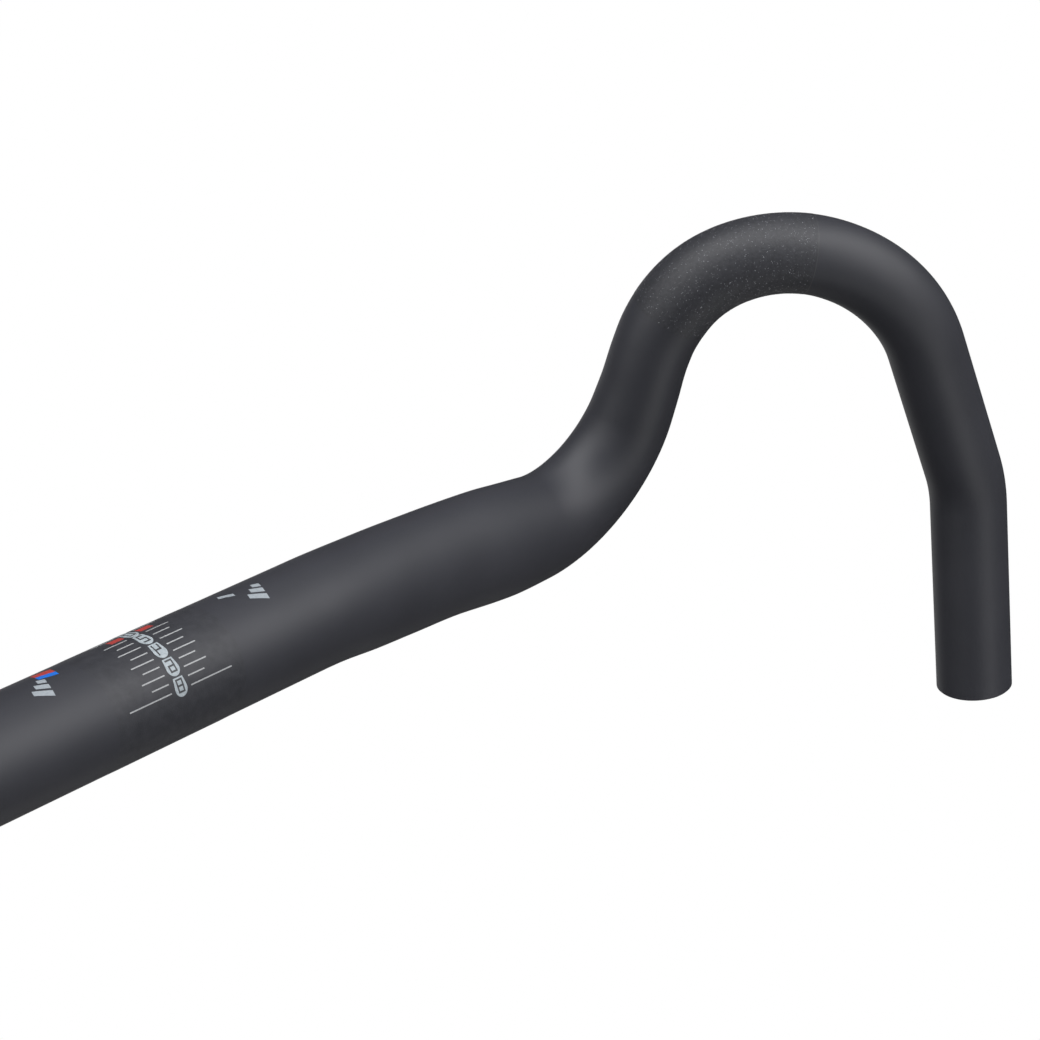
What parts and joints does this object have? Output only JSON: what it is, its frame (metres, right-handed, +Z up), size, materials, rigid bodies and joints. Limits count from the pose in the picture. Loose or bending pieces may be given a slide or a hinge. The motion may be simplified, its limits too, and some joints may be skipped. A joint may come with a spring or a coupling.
{
  "type": "drop handlebar",
  "caption": "Flared, shallow drop handlebar with flattened oval tops, grit patches at the stem clamp and levers, and a printed angle scale.",
  "frame": {"origin": "on the tube's centre line, in the middle of the stem clamp", "axes": "+X to the rider's right along the clamp, +Y forward, +Z up, with the ends of the drops level"},
  "size_m": [0.597, 0.1665, 0.1048],
  "materials": {
    "bar_finish": "matte black bead-blasted anodised",
    "clamp_grit": "fine matte grit in a thin lacquer",
    "lever_grit": "coarser sparkling grit in a thin lacquer",
    "light_print": "light grey ink",
    "silver_print": "silver ink",
    "dark_print": "dark ink",
    "grey_print": "grey ink",
    "red_print": "red ink",
    "blue_print": "blue ink"
  },
  "bodies": {
    "root": {"bar_tube": "bar_finish", "clamp_grit_band": "clamp_grit", "right_lever_grit_band": "lever_grit", "left_lever_grit_band": "lever_grit", "scale_lines": "light_print", "scale_zero_marks": "red_print", "scale_number_tags": "silver_print", "scale_figures": "dark_print", "right_print_mark": "grey_print", "left_print_mark": "grey_print", "accent_flash_red": "red_print", "accent_flash_blue": "blue_print"}
  },
  "joints": []
}
